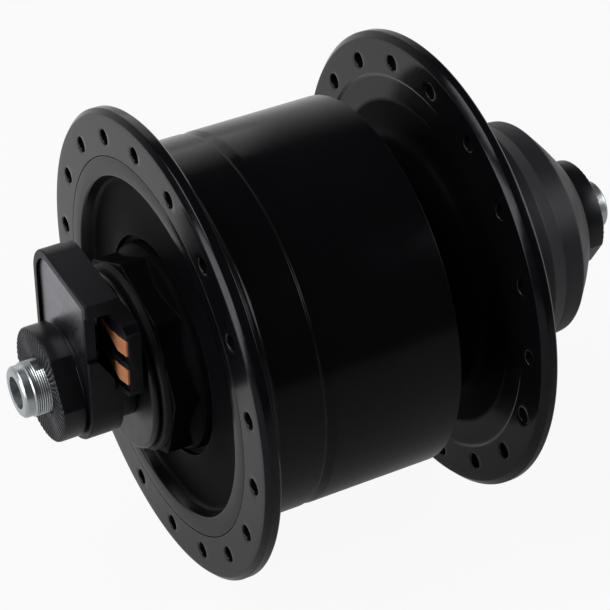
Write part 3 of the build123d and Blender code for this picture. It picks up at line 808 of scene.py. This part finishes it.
# %% Left rings
LEFT_RINGS = {
    "left_seal": (
        "wheel_unit",
        [(9.55, -35.5, 0.1), (15.45, -35.5, 0.35), (15.6, -34.4, 0.1), (9.55, -34.4, 0.1)],
    ),
    "left_dust_disc": (
        "axle_unit",
        [
            (4.6, -37.1, 0.1),
            (14.3, -37.1, 0.25),
            (14.8, -36.7, 0.25),
            (14.8, -36.0, 0.2),
            (4.6, -36.0, 0.1),
        ],
    ),
    "left_spacer": (
        "axle_unit",
        [(4.6, -40.2, 0.1), (8.8, -40.2, 0.25), (8.8, -37.1, 0.25), (4.6, -37.1, 0.1)],
    ),
    "left_washer": (
        "axle_unit",
        [(4.6, -46.0, 0.1), (8.7, -46.0, 0.15), (8.7, -45.2, 0.15), (4.6, -45.2, 0.1)],
    ),
}
for node_name, (body, corners) in LEFT_RINGS.items():
    dress(lathe(node_name + "_turned", corners), body, node_name)

# %% [markdown]
# ## Lock nuts
#
# A lock nut is round with two flats for the spanner, and radial teeth on its
# face bite into the fork. Its outline in polar form is the smaller of the
# round and the flat, and the teeth are a wave in the angle whose height
# fades at the inner and outer edge of the face.

# %% Lock nuts
LEFT_NUT_R = 9.5
RIGHT_NUT_R = 9.0
NUT_FLAT_R = 8.5
NUT_TEETH = 56
TOOTH_DEPTH = 0.28
NUT_COUNT = NUT_TEETH * 8
NUT_BORE_R = 4.55
NUT_WIDTH = 4.0
TOOTH_SHARE = 0.62


def nut_outline(angles, nut_r, flat_angle):
    """Smaller of the round radius and flat / |cos| of the angle off the flats."""
    off = np.abs(np.cos(angles - radians(flat_angle)))
    return np.minimum(nut_r, NUT_FLAT_R / np.maximum(off, 0.5))


def lock_nut_piece(name, nut_r, face, outward, flat_angle):
    """A nut from rings: bore, toothed face, edge round, side and back.

    Each row is (radius, station, share of the tooth depth).
    """
    angles = full_turn(NUT_COUNT)
    side = nut_outline(angles, nut_r, flat_angle)
    wave = np.abs((angles * NUT_TEETH / (2 * pi)) % 1 - 0.5) * 2
    groove = np.clip((TOOTH_SHARE - wave) / TOOTH_SHARE, 0, 1)
    inner = NUT_BORE_R + 0 * side
    back = -outward
    rows = [
        (inner, face + back * 0.75, 0.0),
        (inner + 0.15, face + back * 0.55, 0.0),
        (inner + 0.62, face + back * 0.10, 0.15),
        (inner + 0.80, face, 0.55),
        (inner + 1.10, face, 1.0),
        (side * 0.5 + inner * 0.5, face, 1.0),
        (side - 0.75, face, 1.0),
        (side - 0.42, face, 0.9),
        (side - 0.22, face + back * 0.07, 0.35),
        (side - 0.06, face + back * 0.24, 0.0),
        (side, face + back * 0.50, 0.0),
        (side, face + back * (NUT_WIDTH - 0.4), 0.0),
        (side - 0.08, face + back * (NUT_WIDTH - 0.15), 0.0),
        (side - 0.35, face + back * NUT_WIDTH, 0.0),
        (inner, face + back * NUT_WIDTH, 0.0),
    ]
    radius = np.stack([row[0] for row in rows])
    depth = np.array([row[2] for row in rows])[:, None] * groove[None, :] * TOOTH_DEPTH
    station = np.array([row[1] for row in rows])[:, None] + back * depth
    grid = polar_points(radius, station, angles)
    return build(name, [(grid, grid_faces(len(rows), NUT_COUNT, close_rows=True))], smooth=30)


left_nut = lock_nut_piece("left_lock_nut_toothed", LEFT_NUT_R, -50.0, -1, 33.0)
dress(left_nut, "axle_unit", "left_lock_nut")
right_nut = lock_nut_piece("right_lock_nut_toothed", RIGHT_NUT_R, 50.0, 1, -28.0)
dress(right_nut, "axle_unit", "right_lock_nut")

# %% [markdown]
# ## Axle
#
# The axle is zinc plated, with a rolled thread that ends in a smooth tip.
# A thread is a ridge whose phase moves on by one pitch in each turn, so its
# radius depends on station / pitch - angle / turn. A groove along the top
# leads the wires in under the nut.

# %% Axle
AXLE_R = 4.5
AXLE_TIP_R = 4.25
AXLE_BORE_R = 2.6
AXLE_HALF = 54.0
THREAD_PITCH = 0.36
THREAD_DEPTH = 0.085
THREAD_ROWS = 10
THREAD_RUN_OUT = 1.0
THREAD_SPAN = (44.0, 52.2)
AXLE_COUNT = 128
GROOVE_HALF_WIDTH = 1.2
GROOVE_FLOOR = 3.55
GROOVE_SPAN = (-51.0, -19.0)


def threaded_rows(start, stop, angles):
    """Rows of a thread: radius = crest - depth * ridge(station / pitch - angle / turn)."""
    count = int(abs(stop - start) / THREAD_PITCH * THREAD_ROWS) + 1
    station = np.linspace(start, stop, count)[:, None]
    phase = (station / THREAD_PITCH - angles[None, :] / (2 * pi)) % 1
    ridge = np.clip(np.abs(phase - 0.5) * 2.6 - 0.15, 0, 1)
    fade = np.clip(np.minimum(station - start, stop - station) / THREAD_RUN_OUT, 0, 1)
    radius = AXLE_R - 0.02 - THREAD_DEPTH * (1 - ridge) * fade
    return np.broadcast_to(radius, phase.shape), np.broadcast_to(station, phase.shape)


def axle_piece():
    """Axle: tips, two threaded stretches, a plain middle and the skewer bore."""
    angles = full_turn(AXLE_COUNT)
    tip = rounded(
        [
            (AXLE_BORE_R, -AXLE_HALF, 0.2),
            (3.85, -AXLE_HALF, 0.12),
            (AXLE_TIP_R, -AXLE_HALF + 0.4, 0.15),
            (AXLE_TIP_R, -AXLE_HALF + 1.6, 0.0),
        ]
    )[ROUND_STEPS // 2 :]
    near, end = THREAD_SPAN
    first_r, first_y = threaded_rows(-end, -near, angles)
    last_r, last_y = threaded_rows(near, end, angles)
    tip_r = np.broadcast_to(tip[:, :1], (len(tip), AXLE_COUNT))
    tip_y = np.broadcast_to(tip[:, 1:], (len(tip), AXLE_COUNT))
    radius = np.concatenate([tip_r, first_r, last_r, tip_r[::-1]])
    station = np.concatenate([tip_y, first_y, last_y, -tip_y[::-1]])
    height = radius * np.sin(angles)
    inside = (np.abs(radius * np.cos(angles)) < GROOVE_HALF_WIDTH) & (height > GROOVE_FLOOR)
    inside &= (station > GROOVE_SPAN[0]) & (station < GROOVE_SPAN[1])
    height = np.where(inside, GROOVE_FLOOR, height)
    grid = np.stack([radius * np.cos(angles), station, height], -1)
    faces = grid_faces(len(grid), AXLE_COUNT, close_rows=True)
    return build("axle_threaded", [(grid, faces)], smooth=40)


dress(axle_piece(), "axle_unit", "axle")

# %% [markdown]
# ## Right dust cover
#
# The cover on the far end is a turned can: a straight skirt, a narrow sloped
# shoulder, a nearly straight body and a cone that closes behind the nut.

# %% Right cover and rings
RIGHT_RINGS = {
    "right_dust_cover": (
        "axle_unit",
        [
            (19.8, 24.1, 0.15),
            (20.7, 24.1, 0.15),
            (20.7, 32.6, 0.2),
            (19.1, 35.7, 0.2),
            (18.7, 39.4, 0.35),
            (15.4, 42.3, 0.8),
            (11.7, 45.2, 0.35),
            (4.55, 45.2, 0.0),
            (4.55, 43.7, 0.0),
            (10.8, 43.7, 0.0),
            (17.8, 39.4, 0.0),
            (18.2, 35.7, 0.0),
            (19.8, 32.6, 0.0),
        ],
    ),
    "right_seal": (
        "wheel_unit",
        [(9.55, 33.7, 0.1), (14.75, 33.7, 0.1), (14.6, 34.8, 0.3), (9.55, 34.8, 0.1)],
    ),
    "right_washer": (
        "axle_unit",
        [(4.6, 45.2, 0.1), (8.7, 45.2, 0.15), (8.7, 46.0, 0.15), (4.6, 46.0, 0.1)],
    ),
}
for node_name, (body, corners) in RIGHT_RINGS.items():
    dress(lathe(node_name + "_turned", corners), body, node_name)

# %% [markdown]
# ## Connector
#
# The moulded connector keeps its CAD shape, but its edges need the small
# rounds of a moulding to catch the light. A welded copy of the CAD mesh gets
# a Bevel modifier that rounds only the sharp edges.

# %% Softened copies of CAD pieces
SOFTENED = {
    "connector_housing": (0.38, 4),
    "connector_face_plate": (0.12, 2),
    "terminal_block": (0.16, 2),
    "upper_contact": (0.08, 2),
    "lower_contact": (0.08, 2),
}
CRISP_ANGLE = radians(40)
FLAT_ANGLE = radians(1)


def softened(node_name, width, segments):
    """A welded copy of a CAD node, with its flat faces joined and its edges rounded."""
    mesh = frame["nodes"][node_name].data.copy()
    work = bmesh.new()
    work.from_mesh(mesh)
    bmesh.ops.remove_doubles(work, verts=work.verts, dist=WELD_DISTANCE)
    bmesh.ops.dissolve_limit(
        work, angle_limit=FLAT_ANGLE, verts=work.verts, edges=work.edges, delimit={"NORMAL"}
    )
    work.to_mesh(mesh)
    work.free()
    piece = bpy.data.objects.new(node_name + "_moulded", mesh)
    bpy.context.scene.collection.objects.link(piece)
    bevel = piece.modifiers.new("edge rounds", "BEVEL")
    bevel.width = width * MM
    bevel.segments = segments
    bevel.limit_method = "ANGLE"
    bevel.angle_limit = CRISP_ANGLE
    bevel.harden_normals = True
    mesh.polygons.foreach_set("use_smooth", np.ones(len(mesh.polygons), bool))
    mesh.set_sharp_from_angle(angle=CRISP_ANGLE)
    return piece


for node_name, (width, segments) in SOFTENED.items():
    dress(softened(node_name, width, segments), "axle_unit", node_name)

# %% [markdown]
# ## Floor and walls
#
# A black, glossy object shows mostly what it mirrors. So the stage is one
# pale sheet that runs from the floor up into a wall, and a second wall at
# the other side. Both sit far off, where a soft curve hides the corner.

# %% Stage sheets
FLOOR_Z = -39.6
FLOOR_HALF = 900.0
SWEEP_R = 250.0
SWEEP_TOP = 1000.0
SWEEP_STEPS = 25


def sweep_profile():
    """Rows of (out, up): a quarter circle of SWEEP_R past the floor's edge, then a wall."""
    turn = np.linspace(0, pi / 2, SWEEP_STEPS)
    out = FLOOR_HALF + SWEEP_R * np.sin(turn)
    up = FLOOR_Z + SWEEP_R * (1 - np.cos(turn))
    return np.append(out, out[-1]), np.append(up, SWEEP_TOP)


def stage_piece(name, x, y, z, material):
    """A staged sheet from two columns of points for each place along its profile."""
    grid = np.stack(np.broadcast_arrays(x, y, z), -1)
    mesh = bpy.data.meshes.new(name)
    faces = grid_faces(len(grid), 2, close_columns=False)
    mesh.from_pydata((grid.reshape(-1, 3) * MM).tolist(), [], faces.tolist())
    sheet = bpy.data.objects.new(name, mesh)
    bpy.context.scene.collection.objects.link(sheet)
    mesh.materials.append(material)
    return sheet


print("sweep points:", len(sweep_profile()[0]))

# %% [markdown]
# The sheets' paint is grey for the light that falls on it, so the hub keeps
# its shadow, and glows by itself for rays from the camera and from shiny or
# clear pieces. The glow that pieces mirror fades towards the front and the
# top, which leaves the hub's sides black and draws its long highlights.

# %% Stage paint
CAMERA_GLOW = 0.93
GLOSSY_GLOW_BACK = 0.56
GLOSSY_GLOW_FRONT = 0.05
GLOW_FADE = (-70.0, 60.0)
TOP_GLOW = 0.06
FLOOR_PAINT = (0.5, 0.5, 0.5, 1.0)


def axis_fade(links, nodes, axes, axis, start, stop, low, high):
    """A number from low to high as a coordinate goes smoothly from start to stop."""
    node = nodes.new("ShaderNodeMapRange")
    node.interpolation_type = "SMOOTHSTEP"
    node.inputs["From Min"].default_value = start * MM
    node.inputs["From Max"].default_value = stop * MM
    node.inputs["To Min"].default_value = low
    node.inputs["To Max"].default_value = high
    links.new(axes.outputs[axis], node.inputs["Value"])
    return node.outputs["Result"]


def times_plus(links, nodes, first, second, third):
    """first x second + third, held between 0 and 1, for sockets and plain numbers."""
    step = nodes.new("ShaderNodeMath")
    step.operation = "MULTIPLY_ADD"
    step.use_clamp = True
    for socket, value in zip(step.inputs, (first, second, third)):
        if isinstance(value, float):
            socket.default_value = value
        else:
            links.new(value, socket)
    return step.outputs[0]


def stage_material():
    """Pale paint that glows for camera, glossy and see-through rays."""
    material = bpy.data.materials.new("studio_floor")
    material.use_nodes = True
    nodes, links = material.node_tree.nodes, material.node_tree.links
    nodes.clear()
    paint_node = nodes.new("ShaderNodeBsdfDiffuse")
    paint_node.inputs["Color"].default_value = FLOOR_PAINT
    axes = nodes.new("ShaderNodeSeparateXYZ")
    links.new(nodes.new("ShaderNodeTexCoord").outputs["Object"], axes.inputs[0])

    glow = nodes.new("ShaderNodeEmission")
    glow.inputs["Color"].default_value = (1.0, 1.0, 1.0, 1.0)
    height = axis_fade(links, nodes, axes, "Z", 0.0, SWEEP_TOP, 1.0, TOP_GLOW)
    links.new(height, glow.inputs["Strength"])

    rays = nodes.new("ShaderNodeLightPath").outputs
    mirrored = axis_fade(links, nodes, axes, "X", *GLOW_FADE, GLOSSY_GLOW_BACK, GLOSSY_GLOW_FRONT)
    seen = times_plus(links, nodes, rays["Is Camera Ray"], CAMERA_GLOW, 0.0)
    seen = times_plus(links, nodes, rays["Is Transmission Ray"], CAMERA_GLOW, seen)
    seen = times_plus(links, nodes, rays["Is Glossy Ray"], mirrored, seen)
    blend = nodes.new("ShaderNodeMixShader")
    links.new(seen, blend.inputs["Fac"])
    links.new(paint_node.outputs[0], blend.inputs[1])
    links.new(glow.outputs[0], blend.inputs[2])
    links.new(blend.outputs[0], nodes.new("ShaderNodeOutputMaterial").inputs["Surface"])
    return material


def stage_pieces():
    """A floor that sweeps up into a wall at the far -X side, and a wall at the +Y side."""
    material = stage_material()
    out, up = sweep_profile()
    across = np.array([[-2.0, 2.0]]) * FLOOR_HALF
    x = np.insert(-out, 0, FLOOR_HALF)[:, None]
    stage_piece("floor", x, across, np.insert(up, 0, FLOOR_Z)[:, None], material)
    stage_piece("side_wall", across, out[:, None], up[:, None], material)


stage_pieces()
print("stage floor at", FLOOR_Z, "mm")

# %% [markdown]
# ## Light
#
# Four large soft lamps stand above, at the connector end, low at the back
# and at the far end. A large lamp gives a broad highlight with a soft edge.
# The world is nearly dark, so that the black metal stays black.

# %% Lamps and world
LAMPS = {
    "top_soft_box": ((-120, -330, 560), (0, 0, 0), 420, 2.6),
    "left_soft_box": ((60, -640, 180), (0, -20, 0), 380, 2.2),
    "low_back_soft_box": ((-520, 60, 220), (0, 0, 0), 300, 0.18),
    "right_soft_box": ((260, 560, 330), (0, 20, 0), 320, 1.6),
}
WORLD_COLOUR = (0.92, 0.94, 1.0, 1.0)
WORLD_STRENGTH = 0.06


def lamp(name, place, aim, size, power):
    """A square soft lamp at a place in millimetres, facing an aim point."""
    data = bpy.data.lights.new(name, "AREA")
    data.shape = "SQUARE"
    data.size = size * MM
    data.energy = power
    light = bpy.data.objects.new(name, data)
    place, aim = np.array(place, float) * MM, np.array(aim, float) * MM
    light.location = place
    dx, dy, dz = aim - place
    light.rotation_euler = (atan2(hypot(dx, dy), -dz), 0.0, atan2(dy, dx) - pi / 2)
    bpy.context.scene.collection.objects.link(light)
    return light


for lamp_name, values in LAMPS.items():
    lamp(lamp_name, *values)

world = bpy.data.worlds.new("studio")
bpy.context.scene.world = world
world.use_nodes = True
background = world.node_tree.nodes["Background"]
background.inputs["Color"].default_value = WORLD_COLOUR
background.inputs["Strength"].default_value = WORLD_STRENGTH
bpy.context.scene.view_settings.view_transform = "Standard"
print("lamps:", len(LAMPS), "world strength:", WORLD_STRENGTH)
